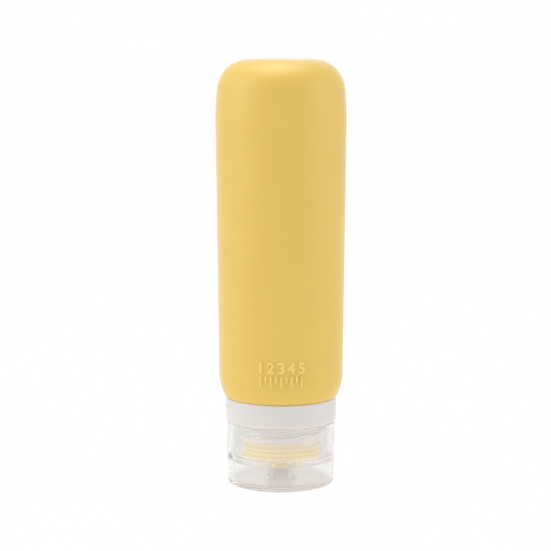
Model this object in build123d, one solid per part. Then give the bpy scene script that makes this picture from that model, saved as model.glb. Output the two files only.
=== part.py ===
from build123d import *
import os
from math import cos, radians, sin, sqrt

# A travel squeeze bottle of soft silicone, standing upside down on its clear flip-top cap.
# Sizes are in millimetres. The bottle's axis is Z, and Z is zero at the face of the lid that it stands on.
# The cap's pieces are drawn with the hinge towards +X, then turned to where the hinge really is.

# Bottle: a tapered silicone tube, widest below its crown, which draws in to the flat base, uppermost here
body_height = 103.4
body_wall = 2.0
base_corner_radius = 9.4
crown_height = 15.7
crown_draw = 1.2
crown_round = 60.0
side_rise = 0.95
shoulder_height = 7.9
shoulder_swell = 2.05
shoulder_step = 0.05
shoulder_edge_round = 0.5
cavity_corner_round = 2.5
neck_radius = 10.2
neck_wall = 1.8
neck_mouth_round = 1.5
lip_thickness = 1.3
lip_edge_round = 0.4

# Collar: a rigid ring under the shoulder, with a skirt outside and a threaded tube inside
collar_height = 7.3
collar_web = 1.5
collar_step = 0.35
collar_skirt_wall = 1.5
collar_lower_round = 0.45
collar_upper_round = 0.4
collar_tube_wall = 1.85
neck_clearance = 0.05
tube_end_chamfer = 0.3

# Grip ribs: fine upright ribs on the collar's tube, below its thread
grip_rib_count = 4
grip_rib_width = 0.35
grip_rib_height = 2.3
grip_rib_proud = 0.2
grip_rib_lift = 1.2
grip_rib_azimuth = -33.0
grip_rib_step = 5.0

# Thread: a coarse right-handed ridge on the collar's tube, and its partner inside the cap's sleeve
thread_pitch = 3.2
ridge_reach = 0.9
ridge_root_width = 1.8
ridge_crest_width = 1.0
ridge_sink = 0.25
thread_lead = 0.7
thread_azimuth = 146.0
thread_clearance = 0.35
collar_thread_turns = 2.25
cap_thread_turns = 1.75

# Cap base: a clear double-walled cap with a deck and a nozzle
cap_wall = 1.2
cap_hollow = 0.9
cap_edge_round = 0.25
cap_seam = 0.1
deck_thickness = 1.0
sleeve_wall = 1.15
sleeve_lead = 0.5
sleeve_top_gap = 2.5
seat_ledge = 0.85
spigot_clearance = 0.4
spigot_wall = 1.0
spigot_height = 0.8
nozzle_length = 6.5
nozzle_wall = 0.8
nozzle_flare = 1.1
nozzle_taper = 0.15
nozzle_cone_height = 1.7
nozzle_bore_radius = 2.3
nozzle_tip_round = 0.4
well_radius = 3.1
well_clearance = 0.5
thumb_ball_radius = 10.0
thumb_depth = 0.5

# Valve: a silicone disc with a slit cup that hangs in the nozzle's root
valve_side_clearance = 0.2
valve_rim_thickness = 1.2
valve_rim_width = 2.7
valve_web_thickness = 0.8
valve_cup_depth = 2.3
valve_cup_wall = 0.6
valve_cup_clearance = 0.3
valve_slit_width = 0.1
valve_rim_round = 0.3

# Retainer: a flat snap ring that holds the valve's web on the deck
retainer_side_clearance = 0.3
retainer_width = 3.9
retainer_thickness = 1.2
retainer_round = 0.2

# Gasket: a silicone ring between the valve's rim and the bottle's lip
gasket_side_clearance = 0.3
gasket_width = 2.6
gasket_thickness = 1.2
gasket_round = 0.35

# Lid: a clear tray with a seal ring round the nozzle and a plug pin in its bore
lid_step = 0.1
lid_taper = 0.25
lid_wall = 1.2
lid_floor = 1.0
lid_outer_round = 1.3
lid_inner_round = 0.9
lid_rim_round = 0.2
nozzle_floor_gap = 0.7
seal_ring_clearance = 0.35
seal_ring_wall = 0.85
seal_ring_overlap = 0.5
plug_clearance = 0.25
plug_taper = 0.5
plug_engagement = 1.0

# Hinge: the lid's knuckle turns on its two trunnions in the ears of the cap
hinge_azimuth = 25.0
lid_opening_angle = 110.0
hinge_inset = 1.5
barrel_radius = 1.15
barrel_clearance = 0.25
knuckle_width = 5.2
ear_width = 2.0
ear_clearance = 0.25
trunnion_radius = 0.6
trunnion_length = 1.4
socket_clearance = 0.05
knuckle_web_back = 0.95
knuckle_web_front = 0.3
knuckle_root_height = 1.2
knuckle_root_front = 0.9
lid_window_margin = 0.15
lid_window_back = 0.3

# Cuts run past the faces that they leave by this much
overrun = 1.0

# Radii, from the neck outwards: each piece goes round the one before with its clearance
collar_bore_radius = neck_radius + neck_clearance
collar_tube_radius = collar_bore_radius + collar_tube_wall
sleeve_root_radius = collar_tube_radius + ridge_reach + thread_clearance
sleeve_radius = sleeve_root_radius + sleeve_wall
cap_bore_radius = sleeve_radius + cap_hollow
cap_radius = cap_bore_radius + cap_wall
lid_radius = cap_radius - lid_step
lid_bore_radius = lid_radius - lid_wall
collar_radius = cap_radius + collar_step
shoulder_radius = collar_radius + shoulder_step
waist_radius = shoulder_radius + shoulder_swell
crown_radius = waist_radius + side_rise
base_radius = crown_radius - crown_draw

# Radii inside the cap: valve, gasket and lip lie in the sleeve's seat, and the valve's cup in the nozzle
seat_radius = sleeve_root_radius - seat_ledge
valve_radius = seat_radius - valve_side_clearance
gasket_radius = seat_radius - gasket_side_clearance
spigot_radius = lid_bore_radius - spigot_clearance
nozzle_radius = well_radius + nozzle_wall
nozzle_root_radius = nozzle_radius + nozzle_flare
nozzle_tip_radius = nozzle_radius - nozzle_taper

# Heights, from the face of the lid upwards
nozzle_tip = lid_floor + nozzle_floor_gap
deck_bottom = nozzle_tip + nozzle_length
lid_height = deck_bottom - cap_seam
deck_top = deck_bottom + deck_thickness
web_top = deck_top + valve_web_thickness
rim_top = deck_top + valve_rim_thickness
gasket_top = rim_top + gasket_thickness
tube_end = gasket_top + lip_thickness
collar_thread_start = tube_end + thread_lead + ridge_root_width / 2
cap_thread_start = collar_thread_start + thread_pitch / 2
sleeve_top = cap_thread_start + thread_pitch * cap_thread_turns + ridge_root_width / 2 + sleeve_lead
web_bottom = sleeve_top + sleeve_top_gap
collar_top = web_bottom + collar_web
collar_bottom = collar_top - collar_height
cap_top = collar_bottom - cap_seam
body_top = collar_top + body_height
cup_bottom = deck_top - valve_cup_depth
well_floor = cup_bottom - well_clearance

# Hinge: its axis lies in the seam between cap and lid, just inside their walls
hinge_height = lid_height + cap_seam / 2
hinge_radius = lid_radius - hinge_inset
swing_radius = barrel_radius + barrel_clearance
ear_start = knuckle_width / 2 + ear_clearance
ear_end = ear_start + ear_width

# The lid's wall is cut away below the ears as far as it would meet the cap's wall when the lid is fully open
wall_outside_hinge = cap_radius - hinge_radius - hinge_inset * cos(radians(lid_opening_angle))
lid_window_height = wall_outside_hinge / sin(radians(lid_opening_angle)) + lid_window_margin


def turned(corners, rounds=()):
    """A solid of revolution about Z through (radius, height) corners, some of them rounded or hollowed."""
    section = make_face(Polyline(*corners, close=True))
    for corner, radius in rounds:
        section = fillet(section.vertices().sort_by_distance((*corner, 0))[0], radius)
    return revolve(Plane.XZ * section, Axis.Z)


def disc(radius, low, high):
    """A plain round plug about Z, used as a cutter or a limit."""
    return Pos(0, 0, low) * Cylinder(radius, high - low, align=(Align.CENTER, Align.CENTER, Align.MIN))


def block(x_range, y_range, z_range):
    """A box between two values on each axis."""
    low, high = zip(x_range, y_range, z_range)
    size = [b - a for a, b in zip(low, high)]
    return Pos(*low) * Box(*size, align=(Align.MIN, Align.MIN, Align.MIN))


def cross_bar(radius, near, far):
    """A round bar about the hinge's axis, from one place along it to another."""
    middle = Pos(hinge_radius, (near + far) / 2, hinge_height)
    return middle * Rot(90, 0, 0) * Cylinder(radius, far - near)


def both_sides(solid):
    """A solid and its mirror image across the hinge's middle."""
    return [solid, mirror(solid, Plane.XZ)]


def thread_ridge(wall_radius, side, start, turns):
    """A helical ridge that stands out of a round wall: side is 1 outwards and -1 inwards."""
    path = Helix(thread_pitch, thread_pitch * turns, wall_radius, center=(0, 0, start))
    root = ridge_root_width / 2
    crest = ridge_crest_width / 2
    outline = Polyline(
        (-side * ridge_sink, -root),
        (side * ridge_reach, -crest),
        (side * ridge_reach, crest),
        (-side * ridge_sink, root),
        close=True,
    )
    at_start = Plane(origin=path @ 0, x_dir=(1, 0, 0), z_dir=path % 0)
    return Rot(0, 0, thread_azimuth) * sweep(at_start * make_face(outline), path=path, is_frenet=True)


def tube_solid(inset):
    """The tapered tube from shoulder to base, drawn in by an inset: zero is its skin."""
    low = collar_top + inset
    high = body_top - inset
    shoulder = (shoulder_radius - inset, low)
    waist = (waist_radius - inset, collar_top + shoulder_height)
    crown = (crown_radius - inset, body_top - crown_height)
    base = (base_radius - inset, high)
    side = Line(waist, crown)
    curve = TangentArc(waist, shoulder, tangent=side @ 0 - side @ 1)
    ends = Polyline(shoulder, (0, low), (0, high), base, crown)
    section = make_face(side + curve + ends)
    lower_round = cavity_corner_round if inset else shoulder_edge_round
    upper_rounds = ((base, base_corner_radius - inset), (crown, crown_round))
    for corner, radius in (*upper_rounds, (shoulder, lower_round)):
        section = fillet(section.vertices().sort_by_distance((*corner, 0))[0], radius)
    return revolve(Plane.XZ * section, Axis.Z)


def make_bottle_body():
    """The hollow silicone tube with its neck, and the lip turned out over the collar's end."""
    bore_radius = neck_radius - neck_wall
    cavity_floor = collar_top + body_wall
    neck = turned(
        [
            (0, gasket_top),
            (collar_tube_radius, gasket_top),
            (collar_tube_radius, tube_end),
            (neck_radius, tube_end),
            (neck_radius, cavity_floor),
            (0, cavity_floor),
        ],
        [((collar_tube_radius, gasket_top), lip_edge_round)],
    )
    mouth = turned(
        [
            (0, gasket_top - overrun),
            (bore_radius, gasket_top - overrun),
            (bore_radius, cavity_floor - neck_mouth_round),
            (bore_radius + neck_mouth_round, cavity_floor),
            (0, cavity_floor),
        ]
    )
    return tube_solid(0) + neck - tube_solid(body_wall) - mouth


def make_neck_collar():
    """The rigid collar: skirt, web and threaded tube, with the fine ribs below its thread."""
    skirt_bore = collar_radius - collar_skirt_wall
    collar = turned(
        [
            (collar_bore_radius, tube_end),
            (collar_tube_radius - tube_end_chamfer, tube_end),
            (collar_tube_radius, tube_end + tube_end_chamfer),
            (collar_tube_radius, web_bottom),
            (skirt_bore, web_bottom),
            (skirt_bore, collar_bottom),
            (collar_radius, collar_bottom),
            (collar_radius, collar_top),
            (collar_bore_radius, collar_top),
        ],
        [
            ((collar_radius, collar_bottom), collar_lower_round),
            ((collar_radius, collar_top), collar_upper_round),
        ],
    )
    ridge = thread_ridge(collar_tube_radius, 1, collar_thread_start, collar_thread_turns)
    rib_bottom = tube_end + grip_rib_lift
    rib = block(
        (collar_tube_radius - ridge_sink, collar_tube_radius + grip_rib_proud),
        (-grip_rib_width / 2, grip_rib_width / 2),
        (rib_bottom, rib_bottom + grip_rib_height),
    )
    ribs = [Rot(0, 0, grip_rib_azimuth + grip_rib_step * index) * rib for index in range(grip_rib_count)]
    return collar + ridge + ribs


def make_cap_shell():
    """The cap's turned shape: outer wall, deck, threaded sleeve, spigot and nozzle in one outline."""
    nozzle_neck = deck_bottom - nozzle_cone_height
    spigot_end = deck_bottom - spigot_height
    shell = turned(
        [
            (well_radius, deck_top),
            (well_radius, well_floor),
            (nozzle_bore_radius, well_floor),
            (nozzle_bore_radius, nozzle_tip),
            (nozzle_tip_radius, nozzle_tip),
            (nozzle_radius, nozzle_neck),
            (nozzle_root_radius, deck_bottom),
            (spigot_radius - spigot_wall, deck_bottom),
            (spigot_radius - spigot_wall, spigot_end),
            (spigot_radius, spigot_end),
            (spigot_radius, deck_bottom),
            (cap_radius, deck_bottom),
            (cap_radius, cap_top),
            (cap_bore_radius, cap_top),
            (cap_bore_radius, deck_top),
            (sleeve_radius, deck_top),
            (sleeve_radius, sleeve_top),
            (sleeve_root_radius, sleeve_top),
            (sleeve_root_radius, tube_end),
            (seat_radius, tube_end),
            (seat_radius, deck_top),
        ],
        [
            ((nozzle_tip_radius, nozzle_tip), nozzle_tip_round),
            ((cap_radius, deck_bottom), cap_edge_round),
            ((cap_radius, cap_top), cap_edge_round),
        ],
    )
    return shell + thread_ridge(sleeve_root_radius, -1, cap_thread_start, cap_thread_turns)


def make_cap_base():
    """The clear cap, with the ears of the hinge, the knuckle's window and the thumb notch."""
    ear_limit = disc(cap_radius, hinge_height - swing_radius, cap_top)
    ears = [ear & ear_limit for ear in both_sides(cross_bar(barrel_radius, ear_start, ear_end))]
    socket = cross_bar(trunnion_radius + socket_clearance, ear_start - ear_clearance, ear_end + overrun)
    knuckle_room = cross_bar(swing_radius, -ear_start, ear_start)
    knuckle_window = block(
        (hinge_radius, cap_radius + overrun),
        (-ear_start, ear_start),
        (hinge_height - swing_radius, hinge_height + swing_radius),
    )
    thumb_centre = cap_radius + thumb_ball_radius - thumb_depth
    thumb_notch = Pos(-thumb_centre, 0, deck_bottom) * Sphere(thumb_ball_radius)
    cap = make_cap_shell() - knuckle_room - knuckle_window - thumb_notch + ears - both_sides(socket)
    return Rot(0, 0, hinge_azimuth) * cap


def make_lid_tray():
    """The lid's turned shape: floor, tapered wall, seal ring and plug pin in one outline."""
    ring_bore = nozzle_tip_radius + seal_ring_clearance
    ring_radius = ring_bore + seal_ring_wall
    ring_top = nozzle_tip + seal_ring_overlap
    plug_radius = nozzle_bore_radius - plug_clearance
    return turned(
        [
            (0, 0),
            (lid_radius - lid_taper, 0),
            (lid_radius, lid_height),
            (lid_bore_radius, lid_height),
            (lid_bore_radius - lid_taper, lid_floor),
            (ring_radius, lid_floor),
            (ring_radius, ring_top),
            (ring_bore, ring_top),
            (ring_bore, lid_floor),
            (plug_radius, lid_floor),
            (plug_radius, nozzle_tip),
            (plug_radius - plug_taper, nozzle_tip + plug_engagement),
            (0, nozzle_tip + plug_engagement),
        ],
        [
            ((lid_radius - lid_taper, 0), lid_outer_round),
            ((lid_bore_radius - lid_taper, lid_floor), lid_inner_round),
            ((lid_radius, lid_height), lid_rim_round),
        ],
    )


def make_flip_lid():
    """The clear lid, with the window for the cap's ears and the knuckle on its trunnions."""
    wall_reach = lid_radius + overrun
    window_half_width = sqrt(lid_radius**2 - hinge_radius**2)
    window_bottom = hinge_height - lid_window_height
    window = block(
        (hinge_radius - lid_window_back, wall_reach),
        (-window_half_width, window_half_width),
        (window_bottom, lid_height + overrun),
    )
    ear_room = cross_bar(swing_radius, -ear_end - ear_clearance, ear_end + ear_clearance)
    half_knuckle = knuckle_width / 2
    web = block(
        (hinge_radius - knuckle_web_back, hinge_radius + knuckle_web_front),
        (-half_knuckle, half_knuckle),
        (window_bottom - knuckle_root_height, hinge_height),
    )
    root = block(
        (hinge_radius - knuckle_web_back, hinge_radius + knuckle_root_front),
        (-half_knuckle, half_knuckle),
        (window_bottom - knuckle_root_height, window_bottom),
    )
    barrel = cross_bar(barrel_radius, -half_knuckle, half_knuckle)
    trunnions = cross_bar(trunnion_radius, -half_knuckle - trunnion_length, half_knuckle + trunnion_length)
    lid = make_lid_tray() - window - ear_room + web + root + barrel + trunnions
    return Rot(0, 0, hinge_azimuth) * lid


def make_slit_valve():
    """The silicone disc whose cross-slit cup hangs through the deck."""
    rim_bore = valve_radius - valve_rim_width
    cup_radius = well_radius - valve_cup_clearance
    cup_bore = cup_radius - valve_cup_wall
    cup_floor = cup_bottom + valve_cup_wall
    disc_and_cup = turned(
        [
            (0, cup_bottom),
            (cup_radius, cup_bottom),
            (cup_radius, deck_top),
            (valve_radius, deck_top),
            (valve_radius, rim_top),
            (rim_bore, rim_top),
            (rim_bore, web_top),
            (cup_bore, web_top),
            (cup_bore, cup_floor),
            (0, cup_floor),
        ],
        [((valve_radius, deck_top), valve_rim_round), ((valve_radius, rim_top), valve_rim_round)],
    )
    slit = block(
        (-cup_bore, cup_bore),
        (-valve_slit_width / 2, valve_slit_width / 2),
        (cup_bottom - overrun, cup_floor + overrun),
    )
    return disc_and_cup - slit - Rot(0, 0, 90) * slit


def make_valve_retainer():
    """The flat snap ring that sits on the valve's web."""
    outer = valve_radius - valve_rim_width - retainer_side_clearance
    bore = outer - retainer_width
    top = web_top + retainer_thickness
    return turned(
        [(bore, web_top), (outer, web_top), (outer, top), (bore, top)],
        [((outer, top), retainer_round), ((bore, top), retainer_round)],
    )


def make_cap_gasket():
    """The soft ring that the bottle's lip presses on the valve's rim."""
    bore = gasket_radius - gasket_width
    return turned(
        [(bore, rim_top), (gasket_radius, rim_top), (gasket_radius, gasket_top), (bore, gasket_top)],
        [((gasket_radius, rim_top), gasket_round), ((gasket_radius, gasket_top), gasket_round)],
    )


pieces = {
    "bottle_body": make_bottle_body(),
    "neck_collar": make_neck_collar(),
    "cap_base": make_cap_base(),
    "flip_lid": make_flip_lid(),
    "slit_valve": make_slit_valve(),
    "valve_retainer": make_valve_retainer(),
    "cap_gasket": make_cap_gasket(),
}

os.makedirs("parts", exist_ok=True)
for name, solid in pieces.items():
    export_step(solid, f"parts/{name}.step")
    print(name, "volume", round(solid.volume, 2))
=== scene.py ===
"""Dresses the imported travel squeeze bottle: soft silicone tube, rigid collar and clear flip-top cap."""

from __future__ import annotations

import logging
import math
from dataclasses import dataclass, field
from enum import Enum
from typing import Iterable, Sequence

import bmesh
import bpy
from mathutils import Matrix, Vector

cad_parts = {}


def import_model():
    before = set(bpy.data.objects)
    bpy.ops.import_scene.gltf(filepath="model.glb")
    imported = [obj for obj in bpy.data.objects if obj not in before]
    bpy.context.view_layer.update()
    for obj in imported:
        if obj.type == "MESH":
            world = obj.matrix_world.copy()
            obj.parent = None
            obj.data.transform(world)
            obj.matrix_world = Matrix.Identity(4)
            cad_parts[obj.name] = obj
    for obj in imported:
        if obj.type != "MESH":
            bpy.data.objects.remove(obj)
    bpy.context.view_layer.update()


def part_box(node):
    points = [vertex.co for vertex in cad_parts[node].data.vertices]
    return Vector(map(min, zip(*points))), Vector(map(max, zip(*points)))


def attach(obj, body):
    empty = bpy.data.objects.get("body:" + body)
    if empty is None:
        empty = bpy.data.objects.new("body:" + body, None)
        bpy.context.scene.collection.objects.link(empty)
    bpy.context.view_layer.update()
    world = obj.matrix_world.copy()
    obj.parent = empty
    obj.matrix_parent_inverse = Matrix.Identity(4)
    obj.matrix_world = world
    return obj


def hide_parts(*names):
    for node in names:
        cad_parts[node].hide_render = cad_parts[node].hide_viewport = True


Shape = bmesh.types.BMesh
Socket = bpy.types.NodeSocket
Colour = tuple[float, float, float]

MM = 0.001
CLOSE = 1e-6
SHARP_ANGLE = math.radians(32.0)
PICTURE_WIDTH = 551
WHITE = (1.0, 1.0, 1.0)
GRAIN_RANGE = (0.3, 0.7)

# Roundings of small moulded edges: the radius in millimetres and the number of facets

HAIR = (0.1, 3)
CRISP = (0.15, 3)
FINE = (0.2, 3)
EASED = (0.2, 4)
SOFT = (0.3, 4)
BLENDED = (0.4, 4)

log = logging.getLogger("squeeze_bottle")


class Cut(Enum):
    """How a tool shape changes the shape it is applied to."""

    ADD = "UNION"
    REMOVE = "DIFFERENCE"
    LIMIT = "INTERSECT"


class Side(Enum):
    """Which way a thread ridge stands out of its wall."""

    OUTWARDS = 1
    INWARDS = -1


# Shapes


@dataclass(frozen=True)
class Corner:
    """A corner of a turned outline in millimetres, and the radius that rounds it off."""

    radius: float
    height: float
    round: float = 0.0
    facets: int = 5


@dataclass(frozen=True)
class Turning:
    """A shape turned about the bottle's axis from one closed outline."""

    corners: Sequence[Corner]
    steps: int = 144

    def reach(self, index: int) -> float:
        """Tells how far along its edges a corner's rounding starts.

        Args:
            index: The corner's place in the outline.

        Returns:
            The distance in millimetres.
        """
        here = self.corners[index]
        before = self.corners[index - 1]
        after = self.corners[(index + 1) % len(self.corners)]
        back = Vector((before.radius - here.radius, before.height - here.height))
        forth = Vector((after.radius - here.radius, after.height - here.height))
        return here.round / math.tan(back.angle(forth) / 2)

    def mesh(self) -> Shape:
        """Rounds the outline's corners and spins it into a closed shape.

        Returns:
            The shape, in metres.
        """
        work = bmesh.new()
        rim = [work.verts.new((corner.radius * MM, 0.0, corner.height * MM)) for corner in self.corners]
        work.faces.new(rim)
        for index, corner in enumerate(self.corners):
            if corner.round > 0.0:
                round_off(work, [rim[index]], self.reach(index), corner.facets)
        bmesh.ops.delete(work, geom=list(work.faces), context="FACES_ONLY")
        on_axis = [edge for edge in work.edges if all(vert.co.x < CLOSE for vert in edge.verts)]
        bmesh.ops.delete(work, geom=on_axis, context="EDGES")
        spin(work, math.tau, self.steps)
        close_seams(work)
        return work


@dataclass(frozen=True)
class Thread:
    """A helical ridge on a round wall, faded into the wall at both ends. Sizes in millimetres."""

    wall_radius: float
    side: Side
    start: float
    turns: float
    pitch: float = 3.2
    root_width: float = 1.8
    crest_width: float = 1.0
    reach: float = 0.9
    sink: float = 0.25
    crest_round: float = 0.18
    crest_facets: int = 3
    azimuth: float = 146.0
    fade_angle: float = 24.0
    tuck: float = 0.1
    steps_per_turn: int = 72

    def mesh(self) -> Shape:
        """Spins the ridge's section up its helix and fades its ends.

        Returns:
            The ridge as a closed shape, in metres.
        """
        work = bmesh.new()
        foot = (self.wall_radius - self.side.value * self.sink) * MM
        crest = (self.wall_radius + self.side.value * self.reach) * MM
        low = self.start * MM
        section = [
            (foot, 0.0, low - self.root_width / 2 * MM),
            (crest, 0.0, low - self.crest_width / 2 * MM),
            (crest, 0.0, low + self.crest_width / 2 * MM),
            (foot, 0.0, low + self.root_width / 2 * MM),
        ]
        face = work.faces.new([work.verts.new(place) for place in section])
        crest_edge = next(
            edge for edge in face.edges if all(abs(vert.co.x - crest) < CLOSE for vert in edge.verts)
        )
        round_off(work, list(crest_edge.verts), self.crest_round, self.crest_facets)
        climb = self.pitch / self.steps_per_turn
        spin(work, math.tau * self.turns, round(self.steps_per_turn * self.turns), climb)
        for vert in work.verts:
            self.fade(vert)
        close_seams(work)
        return turned_by(work, self.azimuth)

    def fade(self, vert: bmesh.types.BMVert) -> None:
        """Sinks a point of the ridge towards its wall when it lies near one of the ridge's ends.

        Args:
            vert: The point, moved in place.
        """
        turn = math.atan2(vert.co.y, vert.co.x) / math.tau % 1.0
        climbed = (vert.co.z / MM - self.start) / self.pitch
        turned = turn + round(climbed - turn)
        from_end = min(turned, self.turns - turned) * 360.0 / self.fade_angle
        share = max(0.0, min(1.0, from_end))
        share = share * share * (3.0 - 2.0 * share)
        radius = math.hypot(vert.co.x, vert.co.y) / MM
        out = (radius - self.wall_radius) * self.side.value
        if out > 0.0:
            kept = (out + self.tuck) * share - self.tuck
            scale = (self.wall_radius + kept * self.side.value) / radius
            vert.co.x *= scale
            vert.co.y *= scale


def round_off(
    work: Shape, parts: Sequence[object], reach: float, facets: int, affect: str = "VERTICES"
) -> None:
    """Rounds off some corners or edges of a shape.

    Args:
        work: The shape, changed in place.
        parts: The corners or edges.
        reach: How far from them the rounding starts, in millimetres.
        facets: How many facets it has.
        affect: VERTICES for corners, EDGES for edges.
    """
    bmesh.ops.bevel(
        work,
        geom=parts,
        offset=reach * MM,
        offset_type="OFFSET",
        segments=facets,
        profile=0.5,
        affect=affect,
        material=-1,
        clamp_overlap=False,
    )


def spin(work: Shape, angle: float, steps: int, climb: float = 0.0) -> None:
    """Spins a section about the bottle's axis; one that doesn't climb is joined to its start.

    Args:
        work: The section, changed in place.
        angle: The whole turn in radians.
        steps: How many steps it takes.
        climb: How far each step rises, in millimetres.
    """
    bmesh.ops.spin(
        work,
        geom=list(work.verts) + list(work.edges) + list(work.faces),
        cent=(0.0, 0.0, 0.0),
        axis=(0.0, 0.0, 1.0),
        dvec=(0.0, 0.0, climb * MM),
        angle=angle,
        steps=steps,
        use_merge=climb == 0.0,
        use_duplicate=False,
    )


def close_seams(work: Shape) -> None:
    """Merges doubled points and turns the faces outwards.

    Args:
        work: The shape, changed in place.
    """
    bmesh.ops.remove_doubles(work, verts=list(work.verts), dist=CLOSE)
    bmesh.ops.dissolve_degenerate(work, edges=list(work.edges), dist=CLOSE / 10)
    bmesh.ops.recalc_face_normals(work, faces=list(work.faces))


def cross_bar(
    radius: float, near: float, far: float, centre: tuple[float, float], sides: int = 40
) -> Shape:
    """Makes a round bar that lies along Y.

    Args:
        radius: The bar's radius in millimetres.
        near: Where it starts along Y.
        far: Where it ends along Y.
        centre: Its place along X and Z.
        sides: How many sides it has.

    Returns:
        The bar, in metres.
    """
    work = bmesh.new()
    place = Matrix.Translation(Vector((centre[0], (near + far) / 2, centre[1])) * MM)
    bmesh.ops.create_cone(
        work,
        cap_ends=True,
        segments=sides,
        radius1=radius * MM,
        radius2=radius * MM,
        depth=(far - near) * MM,
        matrix=place @ Matrix.Rotation(math.pi / 2, 4, "X"),
    )
    return work


def block(low: Sequence[float], high: Sequence[float], edge: float = 0.0) -> Shape:
    """Makes a block between two corners, with its edges rounded where that is asked for.

    Args:
        low: The lowest corner in millimetres.
        high: The highest corner in millimetres.
        edge: The radius of its edges.

    Returns:
        The block, in metres.
    """
    work = bmesh.new()
    middle = (Vector(low) + Vector(high)) / 2 * MM
    size = Vector(high) - Vector(low)
    place = Matrix.Translation(middle) @ Matrix.Diagonal((*(size * MM), 1.0))
    bmesh.ops.create_cube(work, size=1.0, matrix=place)
    if edge > 0.0:
        round_off(work, list(work.edges), edge, facets=2, affect="EDGES")
    return work


def ball(radius: float, centre: Sequence[float]) -> Shape:
    """Makes a ball with a fine mesh.

    Args:
        radius: Its radius in millimetres.
        centre: Its centre in millimetres.

    Returns:
        The ball, in metres.
    """
    work = bmesh.new()
    place = Matrix.Translation(Vector(centre) * MM)
    bmesh.ops.create_icosphere(work, subdivisions=5, radius=radius * MM, matrix=place)
    return work


def turned_by(work: Shape, degrees: float) -> Shape:
    """Turns a shape about the bottle's axis.

    Args:
        work: The shape, turned in place.
        degrees: The angle, anticlockwise from above.

    Returns:
        The same shape.
    """
    turn = Matrix.Rotation(math.radians(degrees), 3, "Z")
    bmesh.ops.rotate(work, verts=list(work.verts), cent=(0.0, 0.0, 0.0), matrix=turn)
    return work


def bar_pair(
    radius: float, near: float, far: float, centre: tuple[float, float], sides: int = 40
) -> Shape:
    """Makes two bars along Y, one on each side of the middle.

    Args:
        radius: Their radius in millimetres.
        near: How far from the middle they start.
        far: How far from the middle they end.
        centre: Their place along X and Z.
        sides: How many sides each has.

    Returns:
        Both bars, in metres.
    """
    return together(
        [cross_bar(radius, near, far, centre, sides), cross_bar(radius, -far, -near, centre, sides)]
    )


def mesh_of(work: Shape, name: str) -> bpy.types.Mesh:
    """Turns a shape into a mesh.

    Args:
        work: The shape, which is used up.
        name: The mesh's name.

    Returns:
        The mesh.
    """
    mesh = bpy.data.meshes.new(name)
    work.to_mesh(mesh)
    work.free()
    return mesh


def linked(name: str, data: bpy.types.ID) -> bpy.types.Object:
    """Makes an object and links it to the scene.

    Args:
        name: The object's name.
        data: Its mesh, curve, lamp or camera.

    Returns:
        The object.
    """
    item = bpy.data.objects.new(name, data)
    bpy.context.scene.collection.objects.link(item)
    return item


def together(shapes: Iterable[Shape]) -> Shape:
    """Puts shapes that don't touch into one mesh.

    Args:
        shapes: The shapes, which are used up.

    Returns:
        One shape with all of them.
    """
    whole = bmesh.new()
    for shape in shapes:
        part = mesh_of(shape, "part")
        whole.from_mesh(part)
        bpy.data.meshes.remove(part)
    return whole


def combined(base: Shape, tool: Shape, how: Cut) -> Shape:
    """Adds a tool shape to a base, or cuts the base with it.

    Args:
        base: The shape to change, which is used up.
        tool: The shape to apply, which is used up.
        how: What the tool does.

    Returns:
        The new shape.
    """
    base_item, tool_item = (linked("bench", mesh_of(work, "bench")) for work in (base, tool))
    change = base_item.modifiers.new("change", "BOOLEAN")
    change.operation = how.value
    change.solver = "EXACT"
    change.object = tool_item
    bpy.context.view_layer.update()
    worked = base_item.evaluated_get(bpy.context.evaluated_depsgraph_get())
    result = bmesh.new()
    result.from_mesh(worked.to_mesh())
    worked.to_mesh_clear()
    for item in (base_item, tool_item):
        mesh = item.data
        bpy.data.objects.remove(item)
        bpy.data.meshes.remove(mesh)
    return result


def piece(work: Shape, name: str, material: bpy.types.Material, body: str) -> bpy.types.Object:
    """Makes the finished object of a shape: smooth up to its sharp edges, dressed, riding on its body.

    Args:
        work: The shape, which is used up.
        name: The object's name.
        material: Its finish.
        body: The moving body it belongs to.

    Returns:
        The object.
    """
    for face in work.faces:
        face.smooth = True
    for edge in work.edges:
        edge.smooth = not edge.is_manifold or edge.calc_face_angle(0.0) < SHARP_ANGLE
    item = linked(name, mesh_of(work, name))
    item.data.materials.append(material)
    flats = item.modifiers.new("flat_faces_first", "WEIGHTED_NORMAL")
    flats.mode = "FACE_AREA"
    flats.weight = 80
    flats.keep_sharp = True
    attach(item, body)
    log.info("%s: %d faces, riding on %s", name, len(item.data.polygons), body)
    return item


def report_fit(item: bpy.types.Object, node: str) -> None:
    """Reports how far a piece's box departs from the solid that it stands for.

    Args:
        item: The piece.
        node: The solid's name.
    """
    low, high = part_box(node)
    points = [vert.co for vert in item.data.vertices]
    inside = [min(point[axis] for point in points) - low[axis] for axis in range(3)]
    inside += [high[axis] - max(point[axis] for point in points) for axis in range(3)]
    log.info("%s inside %s by %s mm", item.name, node, [round(gap / MM, 3) for gap in inside])


# Finishes


def set_inputs(node: bpy.types.Node, values: dict[str, object]) -> None:
    """Sets a node's inputs by their labels.

    Args:
        node: The node.
        values: The inputs' values by label.
    """
    for label, value in values.items():
        node.inputs[label].default_value = value


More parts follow.
